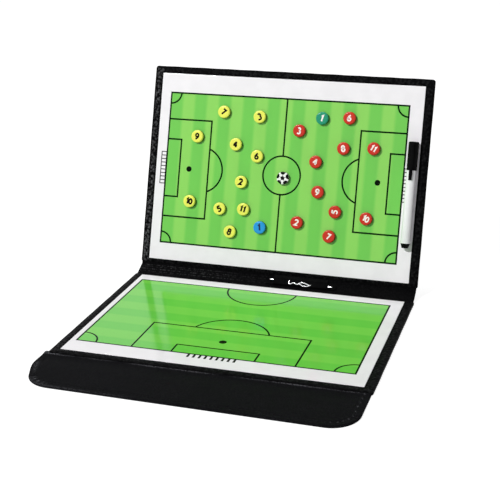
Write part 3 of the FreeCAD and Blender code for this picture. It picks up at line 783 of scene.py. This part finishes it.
# Boards: film and print
PRINT_DEPTH = 0.04
LINE_TOP = 0.08
LINE_WIDTH = 1.8


def film(name, where, y_low, body, cad_node):
    """The white film, with its corners slightly rounded and its edge eased."""
    def ring(inset):
        corner = max(0.9 - inset, 0.3)
        y_high = y_low + BOARD_DEPTH
        return outline(BOARD_LENGTH / 2 - inset, y_low + inset, y_high - inset, corner, 5, 8, 12)
    low = FILM_LOW - FILM_TOP
    rings = stacked(np.concatenate([[(3.0, low)], rim(low, 0.0, 0.12, 3), [(0.6, 0.0), (3.0, 0.0)]]), ring)
    made = piece_of(name, [(place(rings, where), capped(*rings.shape[:2]), 0)], [FILM], sharp=50)
    dress(made, body, "printed_film", cad_node)


film("upper_film", UPPER_BOARD, 0.0, "upper_cover", "upper_pitch_film")
film("lower_film", LOWER_BOARD, -BOARD_DEPTH / 2, "lower_cover", "lower_pitch_film")


def ribbon(path, width, top):
    """A thin flat line of a given width along a flat path, square at its ends and mitred at its corners."""
    path = np.asarray(path, float)
    closed = np.allclose(path[0], path[-1])
    ahead = np.diff(path, axis=0)
    ahead /= np.linalg.norm(ahead, axis=1, keepdims=True)
    before = np.concatenate([ahead[-1:] if closed else ahead[:1], ahead])
    after = np.concatenate([ahead, ahead[:1] if closed else ahead[-1:]])
    normal = np.stack([-(before + after)[:, 1], (before + after)[:, 0]], -1)
    normal /= np.linalg.norm(normal, axis=1, keepdims=True)
    square = np.stack([-after[:, 1], after[:, 0]], -1)
    normal *= (width / 2) / np.sum(normal * square, 1, keepdims=True)
    section = np.stack([path - normal, path + normal, path + normal, path - normal], 1)
    height = np.broadcast_to(np.array([top - PRINT_DEPTH, top - PRINT_DEPTH, top, top])[None, :, None],
                             section.shape[:2] + (1,))
    return np.concatenate([section, height], -1), capped(len(path), 4)


def slab(flat, top):
    """A thin flat patch inside a counter-clockwise outline."""
    flat = np.asarray(flat, float)
    rings = [np.column_stack([flat, np.full(len(flat), height)]) for height in (top - PRINT_DEPTH, top)]
    return np.stack(rings), capped(2, len(flat))


def rectangle(x_low, x_high, y_low, y_high):
    """A closed rectangular path."""
    return [(x_low, y_low), (x_high, y_low), (x_high, y_high), (x_low, y_high), (x_low, y_low)]


def round_path(centre, radius, start=0.0, end=360.0):
    """A circular path, closed if it goes all the way round."""
    return arc(centre, radius, start, end, max(8, int(abs(end - start) / 4)))


def box_arc(centre, radius, wall, middle):
    """The part of a penalty arc outside its box. wall is the box edge's distance from the arc's centre."""
    limit = math.degrees(math.acos(wall / radius))
    return round_path(centre, radius, middle - limit, middle + limit)


def side_box(side, edge, low, high):
    """Three sides of a box that stands on a side line of the upper field."""
    return [(side, low), (edge, low), (edge, high), (side, high)]


def front_box(front, left, right, rear):
    """Three sides of a box that stands on the front line of the lower field."""
    return [(left, front), (left, rear), (right, rear), (right, front)]


def ladder(x_low, x_high, y_low, y_high, cells):
    """A goal drawn as a row of cells along Y."""
    rungs = [[(x_low, y), (x_high, y)] for y in np.linspace(y_low, y_high, cells + 1)[1:-1]]
    return [rectangle(x_low, x_high, y_low, y_high), *rungs]


def printed(name, where, body, field, lines, spots, goals, goal_width, green):
    """All the print of one board in one piece: the striped field, its lines, its spots and its goals."""
    parts = [(*slab(rectangle(*field)[:-1], PRINT_DEPTH), 0)]
    parts += [(*ribbon(path, LINE_WIDTH, LINE_TOP), 1) for path in lines]
    parts += [(*slab(round_path(spot, radius)[:-1], LINE_TOP), 2) for spot, radius in spots]
    parts += [(*ribbon(path, goal_width, LINE_TOP), 3) for path in goals]
    dress(piece_of(name, placed(parts, where), [green, LINE, SPOT, GOAL_LINE]), body, "printed_film")


UPPER_FIELD = (-136.5, 133.0, 19.6, 188.6)
LEFT, RIGHT, LOW, HIGH = UPPER_FIELD
LEFT_SPOT = (-109.1, 104.0)
RIGHT_SPOT = (105.6, 104.6)
CENTRE = (-1.2, 104.6)
CENTRE_RADIUS = 21.2
LEFT_BOX, RIGHT_BOX = -86.3, 83.4
BOX_SPAN = (49.5, 159.0)
LEFT_GOAL_BOX, RIGHT_GOAL_BOX = -120.5, 117.2
GOAL_BOX_SPAN = (72.0, 136.5)
GOAL_SPAN = (86.0, 121.6)
LEFT_GOAL_END, RIGHT_GOAL_END = -142.8, 139.3
GOAL_CELLS = 9
GOAL_GAP = 0.6
GOAL_WIDTH = 0.95
SPOT_RADIUS = 3.1
ARC_SETBACK = 9.0
ARC_RADIUS = 25.4
CORNER_ARC = 12.0
UPPER_LINES = [
    rectangle(*UPPER_FIELD),
    [(CENTRE[0], LOW), (CENTRE[0], CENTRE[1] - CENTRE_RADIUS)],
    [(CENTRE[0], CENTRE[1] + CENTRE_RADIUS), (CENTRE[0], HIGH)],
    round_path(CENTRE, CENTRE_RADIUS),
    side_box(LEFT, LEFT_BOX, *BOX_SPAN),
    side_box(LEFT, LEFT_GOAL_BOX, *GOAL_BOX_SPAN),
    side_box(RIGHT, RIGHT_BOX, *BOX_SPAN),
    side_box(RIGHT, RIGHT_GOAL_BOX, *GOAL_BOX_SPAN),
    box_arc((LEFT_BOX - ARC_SETBACK, LEFT_SPOT[1]), ARC_RADIUS, ARC_SETBACK, 0),
    box_arc((RIGHT_BOX + ARC_SETBACK, RIGHT_SPOT[1]), ARC_RADIUS, ARC_SETBACK, 180),
    round_path((LEFT, LOW), CORNER_ARC, 0, 90),
    round_path((LEFT, HIGH), CORNER_ARC, -90, 0),
    round_path((RIGHT, LOW), CORNER_ARC, 90, 180),
    round_path((RIGHT, HIGH), CORNER_ARC, 180, 270),
]
UPPER_SPOTS = [(LEFT_SPOT, SPOT_RADIUS), (RIGHT_SPOT, SPOT_RADIUS)]
UPPER_GOALS = [*ladder(LEFT_GOAL_END, LEFT - GOAL_GAP, *GOAL_SPAN, GOAL_CELLS),
               *ladder(RIGHT + GOAL_GAP, RIGHT_GOAL_END, *GOAL_SPAN, GOAL_CELLS)]
printed("upper_print", UPPER_BOARD, "upper_cover", UPPER_FIELD, UPPER_LINES, UPPER_SPOTS, UPPER_GOALS,
        GOAL_WIDTH, UPPER_GREEN)

LOWER_FIELD = (-142.2, 135.6, -81.5, 90.0)
LOWER_LEFT, LOWER_RIGHT, FRONT, REAR = LOWER_FIELD
LOWER_SPOTS = [((-3.0, -47.2), 3.8)]
LOWER_BOX = (-85.0, 78.6, -19.6)
LOWER_GOAL_BOX = (-44.0, 39.0, -64.0)
LOWER_ARC = (-2.5, -32.2)
LOWER_ARC_RADIUS = 40.5
LOWER_CORNER_ARC = 20.0
LOWER_CIRCLE_X = -3.0
LOWER_CIRCLE_RADIUS = 37.6
LOWER_GOAL_END = -89.0
LOWER_GOAL_WIDTH = 2.3
LOWER_LINES = [
    rectangle(*LOWER_FIELD),
    front_box(FRONT, *LOWER_BOX),
    front_box(FRONT, *LOWER_GOAL_BOX),
    box_arc(LOWER_ARC, LOWER_ARC_RADIUS, LOWER_BOX[2] - LOWER_ARC[1], 90),
    round_path((LOWER_CIRCLE_X, REAR), LOWER_CIRCLE_RADIUS, 180, 360),
    round_path((LOWER_LEFT, FRONT), LOWER_CORNER_ARC, 0, 90),
    round_path((LOWER_RIGHT, FRONT), LOWER_CORNER_ARC, 90, 180),
]
LOWER_GOAL = [[(x, LOWER_GOAL_END), (x, FRONT - GOAL_GAP)] for x in np.linspace(-25.0, 21.0, 9)]
printed("lower_print", LOWER_BOARD, "lower_cover", LOWER_FIELD, LOWER_LINES, LOWER_SPOTS, LOWER_GOAL,
        LOWER_GOAL_WIDTH, LOWER_GREEN)

# Chips
CHIP_FACE = CHIP_HEIGHT - 0.06
CHIP_WALL = CHIP_RADIUS - 0.5
CHIP_FOOT = [(CHIP_WALL - 0.3, 0.0), (CHIP_WALL - 0.1, 0.2), (CHIP_WALL, 0.6), (CHIP_WALL, 2.4)]
CHIP_TOP = [(CHIP_WALL - 0.02, 3.4), (CHIP_WALL - 0.1, 3.9), (CHIP_WALL - 0.3, 4.3),
            (CHIP_WALL - 0.65, 4.62), (5.9, CHIP_HEIGHT - 0.03), (5.3, CHIP_FACE), (3.0, CHIP_FACE)]
CHIP_SIDES = 48
# Turns of the printed numbers, clockwise as seen from the front
CHIP_TURNS = {
    "chip_yellow_2": 4, "chip_yellow_3": -18, "chip_yellow_4": 8, "chip_yellow_5": -24,
    "chip_yellow_6": 4, "chip_yellow_7": 32, "chip_yellow_8": 16, "chip_yellow_9": 8,
    "chip_yellow_10": 6, "chip_yellow_11": 12, "chip_blue_1": -8,
    "chip_red_2": 8, "chip_red_3": 5, "chip_red_4": 14, "chip_red_5": -80, "chip_red_6": 6,
    "chip_red_7": 20, "chip_red_8": -12, "chip_red_9": 6, "chip_red_10": 24, "chip_red_11": 28,
    "chip_teal_1": 16, "chip_ball": 0,
}
NUMBER_HEIGHT = 7.6
TWO_DIGIT_SCALE = 0.86
DIGIT_PITCH = 0.54
DARK_STROKE = 1.9
PALE_STROKE = 1.6
INK_TOP = CHIP_FACE + 0.03

# Strokes of the digits in a cell one high and about half as wide
SIX = [arc((0, -0.17), 0.22, 90, 450, 24),
       eased_path([(0.15, 0.41), (-0.05, 0.28), (-0.2, 0.05), (-0.22, -0.2)], 2)]
DIGITS = {
    "0": [np.array([[0.62, 1.0]]) * arc((0, 0), 0.4, 0, 360, 28)],
    "1": [[(-0.15, 0.24), (0.05, 0.41), (0.05, -0.42)]],
    "2": [np.concatenate([arc((0.0, 0.19), 0.22, 165, -40, 14), [(-0.2, -0.36), (0.24, -0.36)]])],
    "3": [arc((-0.02, 0.2), 0.2, 140, -70, 14), arc((-0.02, -0.19), 0.23, 80, -145, 14)],
    "4": [[(0.1, -0.42), (0.1, 0.42)], [(0.08, 0.36), (-0.24, -0.12)], [(-0.3, -0.14), (0.28, -0.14)]],
    "5": [[(0.22, 0.37), (-0.2, 0.37)], [(-0.15, 0.42), (-0.19, 0.0)],
          arc((-0.02, -0.16), 0.23, 130, -145, 16)],
    "6": SIX,
    "7": [[(-0.24, 0.37), (0.2, 0.37), (-0.08, -0.42)]],
    "8": [arc((0, 0.2), 0.18, 0, 360, 24), arc((0, -0.19), 0.22, 0, 360, 24)],
    "9": [-np.asarray(stroke) for stroke in SIX],
}


def clockwise(points, degrees):
    """Flat points turned clockwise."""
    turn = -math.radians(degrees)
    matrix = np.array([[math.cos(turn), -math.sin(turn)], [math.sin(turn), math.cos(turn)]])
    return np.asarray(points, float) @ matrix.T


def number_strokes(text):
    """Stroke paths of a number in millimetres, centred. Two digits are side by side and a little smaller."""
    size = NUMBER_HEIGHT if len(text) == 1 else NUMBER_HEIGHT * TWO_DIGIT_SCALE
    paths = []
    for index, digit in enumerate(text):
        offset = (index - (len(text) - 1) / 2) * DIGIT_PITCH
        paths += [(np.asarray(stroke, float) + np.array([offset, 0.0])) * size for stroke in DIGITS[digit]]
    return paths


def football_patches():
    """Black patches of a football: a middle pentagon and five (radius, angle) grids cut by the rim."""
    corners = np.radians(90 + 72 * np.arange(5))
    radius = np.array([4.0, 4.7] + [radius for radius, _ in CHIP_TOP[-2::-1]])
    spread = np.array([0.18, 0.38] + [0.44] * (len(CHIP_TOP) - 1))
    height = np.interp(radius, *np.transpose(CHIP_TOP[::-1])) + 0.05
    parts = [slab(2.5 * np.stack([np.cos(corners), np.sin(corners)], -1), INK_TOP)]
    across = np.linspace(-1, 1, 7)
    for corner in corners:
        angle = corner + spread[:, None] * across
        high = np.repeat(height[:, None], len(across), 1)
        upper = np.stack([radius[:, None] * np.cos(angle), radius[:, None] * np.sin(angle), high], -1)
        loops = np.concatenate([upper, (upper - [0, 0, 0.2])[:, ::-1]], 1)
        parts.append((loops, flipped(capped(*loops.shape[:2]))))
        seam = np.outer([2.0, 4.4], [np.cos(corner), np.sin(corner)])
        parts.append(ribbon(seam, 0.5, INK_TOP))
    return parts


def chip(name, degrees):
    """A chip with its number or its football, on the place that its CAD node has on the upper board."""
    low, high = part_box(name)
    seat = moved(axes(np.array((low + high) / 2) / MM, COVER_ANGLE), (0.0, 0.0, -CHIP_HEIGHT / 2))
    kind = name.split("_")[1]
    plastic, ink, slot = CHIP_LOOKS[kind]
    points, faces = turned(CHIP_FOOT + CHIP_TOP, CHIP_SIDES)
    numbers = np.zeros(len(faces), int)
    # Painted shade: the lower wall takes the near-black foot material.
    numbers[:(len(CHIP_FOOT) - 1) * CHIP_SIDES] = 2
    if kind == "ball":
        marks = football_patches()
    else:
        strokes = number_strokes(name.split("_")[2])
        width = PALE_STROKE if ink is PALE_INK else DARK_STROKE
        marks = [ribbon(clockwise(stroke, degrees), width, INK_TOP) for stroke in strokes]
    parts = [(points, faces, numbers)] + [(*mark, 1) for mark in marks]
    dress(piece_of(name + "_button", placed(parts, seat), [plastic, ink, CHIP_FOOT_SHADE]), name, slot, name)


for chip_name, degrees in CHIP_TURNS.items():
    chip(chip_name, degrees)

# Marker, with heights counted down from the cap's closed end
BARREL_END = BARREL_TOP + BARREL_LENGTH
TONGUE_HALF = 1.8
PAD_LENGTH = 22.0


def along_marker(profile, sides=40):
    """A turned piece along the marker's axis."""
    points, faces = turned(profile, sides)
    return place(points, DOWN_MARKER), faces


cap_profile = np.concatenate([
    [(2.5, 0.0)],
    arc((4.3, 1.2), 1.2, -90, 0, 6),
    [(5.5, 8.0), (5.5, 26.4), (5.25, 26.8), (5.25, 27.6), (5.5, 28.0), (5.5, 29.8), (5.3, CAP_LENGTH)],
    [(4.3, CAP_LENGTH), (4.2, CAP_LENGTH - 0.4), (3.6, 26.0), (3.6, 2.4), (3.2, 2.0)],
])
section = np.array([(-1, 0.12), (-0.86, 0), (0.86, 0), (1, 0.12),
                    (1, 0.88), (0.86, 1), (-0.86, 1), (-1, 0.88)])
# Rows of the tongue: the distance from the cap's end, and the heights of its two faces off the axis
tongue_rows = [(0.6, 4.6, 6.3), (1.2, 4.6, 6.95), (4.0, 4.8, 7.0), (5.4, 6.0, 7.0), (20.0, 6.0, 7.0),
               (TONGUE_END - 2.9, 5.9, 6.95), (TONGUE_END - 0.8, 5.7, 6.75), (TONGUE_END, 5.85, 6.35)]
tongue_rings = np.stack([
    np.column_stack([section[:, 0] * TONGUE_HALF, np.full(8, -down), low + section[:, 1] * (high - low)])
    for down, low, high in tongue_rows
])
pad_along = (section[:, 1] - 0.5) * PAD_LENGTH - CAP_LENGTH / 2
pad_rings = np.stack([
    np.column_stack([section[:, 0] * half, pad_along, np.full(8, z)])
    for half, z in ((3.3, -5.68), (3.5, -5.5), (3.5, -3.6))
])
cap = piece_of("marker_cap_shell", [
    (*along_marker(cap_profile), 0),
    (place(tongue_rings, MARKER), capped(8, 8), 0),
    (place(pad_rings, MARKER), capped(3, 8), 0),
], [CAP_BLACK], sharp=40)
dress(cap, "marker_cap", "marker_black", "marker_cap")

barrel_profile = [(4.1, BARREL_TOP + 0.3), (4.3, BARREL_TOP), (4.7, BARREL_TOP), (5.0, BARREL_TOP + 0.4),
                  (5.0, BARREL_TOP + 30), (5.0, BARREL_END - 0.5), (4.8, BARREL_END - 0.1),
                  (4.2, BARREL_END), (4.1, BARREL_END - 0.3)]
barrel = piece_of("marker_barrel_tube", [(*along_marker(barrel_profile), 0)], [BARREL_WHITE])
dress(barrel, "marker_body", "marker_white", "marker_barrel")
plug_profile = [(3.9, BARREL_END - 6.0), (4.0, BARREL_END - 5.8), (4.0, BARREL_END - 0.05),
                (4.9, BARREL_END + 0.02), (4.9, BARREL_END + 0.5), (4.5, BARREL_END + 1.2),
                (3.5, BARREL_END + 4.4), (3.2, BARREL_END + PLUG_LENGTH), (2.0, BARREL_END + PLUG_LENGTH)]
plug = piece_of("marker_plug", [(*along_marker(plug_profile), 0)], [CAP_BLACK])
dress(plug, "marker_body", "marker_black", "marker_end_plug")

# Clip: low rivet heads drawn black with a bright ridge, a painted dark reflection with a glint on heads that
# are bright metal, and a bright wire lever that lies down the front of the jaw
RIVET_RISES = (0.8, -2.0)
# Painted reflection and highlight: the flange is black where a bright head would mirror the dark leather,
# and the bright ridge is shaped as the glint.
flange_profile = [(1.5, -2.0), (1.5, 0.8), (3.2, 0.8), (3.2, 1.0), (2.9, 1.2), (1.5, 1.25)]
ridge_profile = np.concatenate([[(2.8, 1.0), (3.1, 1.2)], arc((2.5, 1.4), 0.6, 0, 80, 5), [(1.2, 2.0)]])
RIDGE_SHAPE = (1.25, 0.2, 1.0)
rivet_parts = []
for side, rise in zip((-1, 1), RIVET_RISES):
    seat = moved(CLIP, (side * RIVET_HALF_SPACING, rise, 0.0))
    for profile, shape, number in ((flange_profile, (1.0, 1.0, 1.0), 0), (ridge_profile, RIDGE_SHAPE, 1)):
        points, faces = turned(profile, 28)
        rivet_parts.append((place(points * shape, seat), faces, number))
rivets = piece_of("clip_rivet_heads", rivet_parts, [CLIP_BLACK, CHROME])
dress(rivets, "spine", "clip_bright", "clip_rivets")

WIRE_RADIUS = 0.65
# The lever's two strands, as (across, down the jaw) points of one hand-bent wire
LOW_STRAND = [(-12.0, -0.8), (-12.0, -4.0), (-10.6, -4.6), (-8.4, -3.0), (-5.4, -2.9), (-3.2, -4.2),
              (-1.0, -3.2), (1.4, -4.0), (3.4, -5.3), (6.2, -5.4), (8.6, -5.2), (11.0, -4.2), (12.4, -3.4)]
HIGH_STRAND = [(-1.4, -3.1), (1.6, -1.6), (5.0, -1.9), (8.8, -3.0), (11.0, -4.0)]
lever_parts = []
for strand in (LOW_STRAND, HIGH_STRAND):
    path = eased_path(np.column_stack([strand, np.full(len(strand), WIRE_RADIUS)]))
    points, faces = tube(path, WIRE_RADIUS, (0.0, 0.0, 1.0))
    lever_parts.append((place(points, LEVER), faces, 0))
dress(piece_of("clip_wire_lever", lever_parts, [CHROME]), "clip_jaw", "clip_bright", "clip_lever")

# The clip's hairpin spring, whose upper leg sits by the jaw's tail and lower leg on the base; it is fixed in
# the shared frame as one piece, and the places of its legs are worked out but not used
PIN_BACK = 0.4
PIN_HEIGHT = 2.8
SPRING_INNER = 1.3
SPRING_OUTER = 1.8
SPRING_LEG = 3.4
SPRING_HALF = 15.0
spring_sides = []
for radius in (SPRING_INNER, SPRING_OUTER):
    tip = PIN_BACK + SPRING_LEG
    bend = arc((PIN_BACK, PIN_HEIGHT), radius, 270, 90, 17)
    spring_sides.append(np.concatenate([[(tip, PIN_HEIGHT - radius)], bend, [(tip, PIN_HEIGHT + radius)]]))
spring_rings = np.stack([
    np.column_stack([np.full(len(side), x), side])
    for x, side in ((SPRING_HALF, spring_sides[0]), (-SPRING_HALF, spring_sides[0]),
                    (-SPRING_HALF, spring_sides[1]), (SPRING_HALF, spring_sides[1]))
], 1)
spring_parts = [(place(spring_rings, CLIP), capped(*spring_rings.shape[:2]), 0)]
hairpin = piece_of("clip_hairpin_spring", spring_parts, [SPRING])
low_leg, high_leg = (
    place((0.0, PIN_BACK, PIN_HEIGHT + side * SPRING_INNER), CLIP) * MM for side in (-1, 1))
tuple(low_leg)
tuple(high_leg)
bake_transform(hairpin)
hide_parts("clip_spring")


# Floor, light and camera
def seen_white(tree):
    """1 for what the camera sees, straight, mirrored or through glass, and 0 for the light on the object."""
    path = tree.nodes.new("ShaderNodeLightPath").outputs
    seen = worked(tree, "MAXIMUM", path["Is Camera Ray"], path["Is Glossy Ray"])
    return worked(tree, "MAXIMUM", seen, path["Is Transmission Ray"])


WHITE = (1.0, 1.0, 1.0, 1.0)
FLOOR_GLOW = 0.9
FLOOR_LIT = rgb(238, 238, 238)
FLOOR_SEEN = rgb(150, 150, 150)
WORLD_LIGHT = 0.1
floor_mesh = bpy.data.meshes.new("floor")
floor_mesh.from_pydata([(-8, -8, 0), (8, -8, 0), (8, 8, 0), (-8, 8, 0)], [], [(0, 1, 2, 3)])
floor_look, floor_tree, floor_shader, _ = finish_of("pale floor")
floor_seen = seen_white(floor_tree)
fill(floor_tree, floor_shader, {
    "Base Color": mixed(floor_tree, floor_seen, FLOOR_LIT, FLOOR_SEEN),
    "Roughness": 0.8,
    "Specular IOR Level": 0.05,
    "Emission Color": WHITE,
    "Emission Strength": worked(floor_tree, "MULTIPLY", floor_seen, FLOOR_GLOW),
})
floor_mesh.materials.append(floor_look)
floor = bpy.data.objects.new("floor", floor_mesh)
bpy.context.scene.collection.objects.link(floor)

world = bpy.data.worlds.new("studio")
bpy.context.scene.world = world
world.use_nodes = True
sky = world.node_tree
fill(sky, sky.nodes["Background"], {
    "Color": WHITE,
    "Strength": worked(sky, "MULTIPLY_ADD", seen_white(sky), 1.0 - WORLD_LIGHT, WORLD_LIGHT),
})


def stand(name, data, position, right, above, back):
    """Puts a light or a camera at a position, by its own three directions. It looks away from back."""
    made = bpy.data.objects.new(name, data)
    matrix = Matrix(np.column_stack([right, above, back]).tolist()).to_4x4()
    matrix.translation = position
    made.matrix_world = matrix
    bpy.context.scene.collection.objects.link(made)
    return made


def softbox(name, position, target, size, power):
    """A square area light aimed at a point."""
    light = bpy.data.lights.new(name, "AREA")
    light.size = size
    light.energy = power
    back = np.array(position, float) - np.array(target, float)
    back /= np.linalg.norm(back)
    right = np.cross((0.0, 0.0, 1.0), back)
    right /= np.linalg.norm(right)
    stand(name, light, position, right, np.cross(back, right), back)


softbox("key light", (-1.52, -2.66, 2.56), (0.0, 0.1, 0.1), 0.45, 122.0)
softbox("top light", (-0.5, 0.7, 2.6), (0.0, 0.0, 0.0), 0.6, 22.0)

FOCAL_PIXELS = 1155.6
IMAGE_PIXELS = 500
AZIMUTH, ELEVATION, ROLL = (math.radians(value) for value in (17.08, 19.49, -0.394))
LOOK = np.array((0.0, 0.0349, 0.0716))
DISTANCE = 1.1733
back = np.array((math.sin(AZIMUTH) * math.cos(ELEVATION), -math.cos(AZIMUTH) * math.cos(ELEVATION),
                 math.sin(ELEVATION)))
right = np.array((math.cos(AZIMUTH), math.sin(AZIMUTH), 0.0))
above = np.cross(back, right)
rolled_right = math.cos(ROLL) * right + math.sin(ROLL) * above
rolled_above = math.cos(ROLL) * above - math.sin(ROLL) * right
lens = bpy.data.cameras.new("camera")
lens.sensor_width = 36.0
lens.lens = lens.sensor_width * FOCAL_PIXELS / IMAGE_PIXELS
lens.clip_start = 0.01
lens.clip_end = 50.0
bpy.context.scene.camera = stand("camera", lens, LOOK + DISTANCE * back, rolled_right, rolled_above, back)
bpy.context.scene.view_settings.view_transform = "Standard"
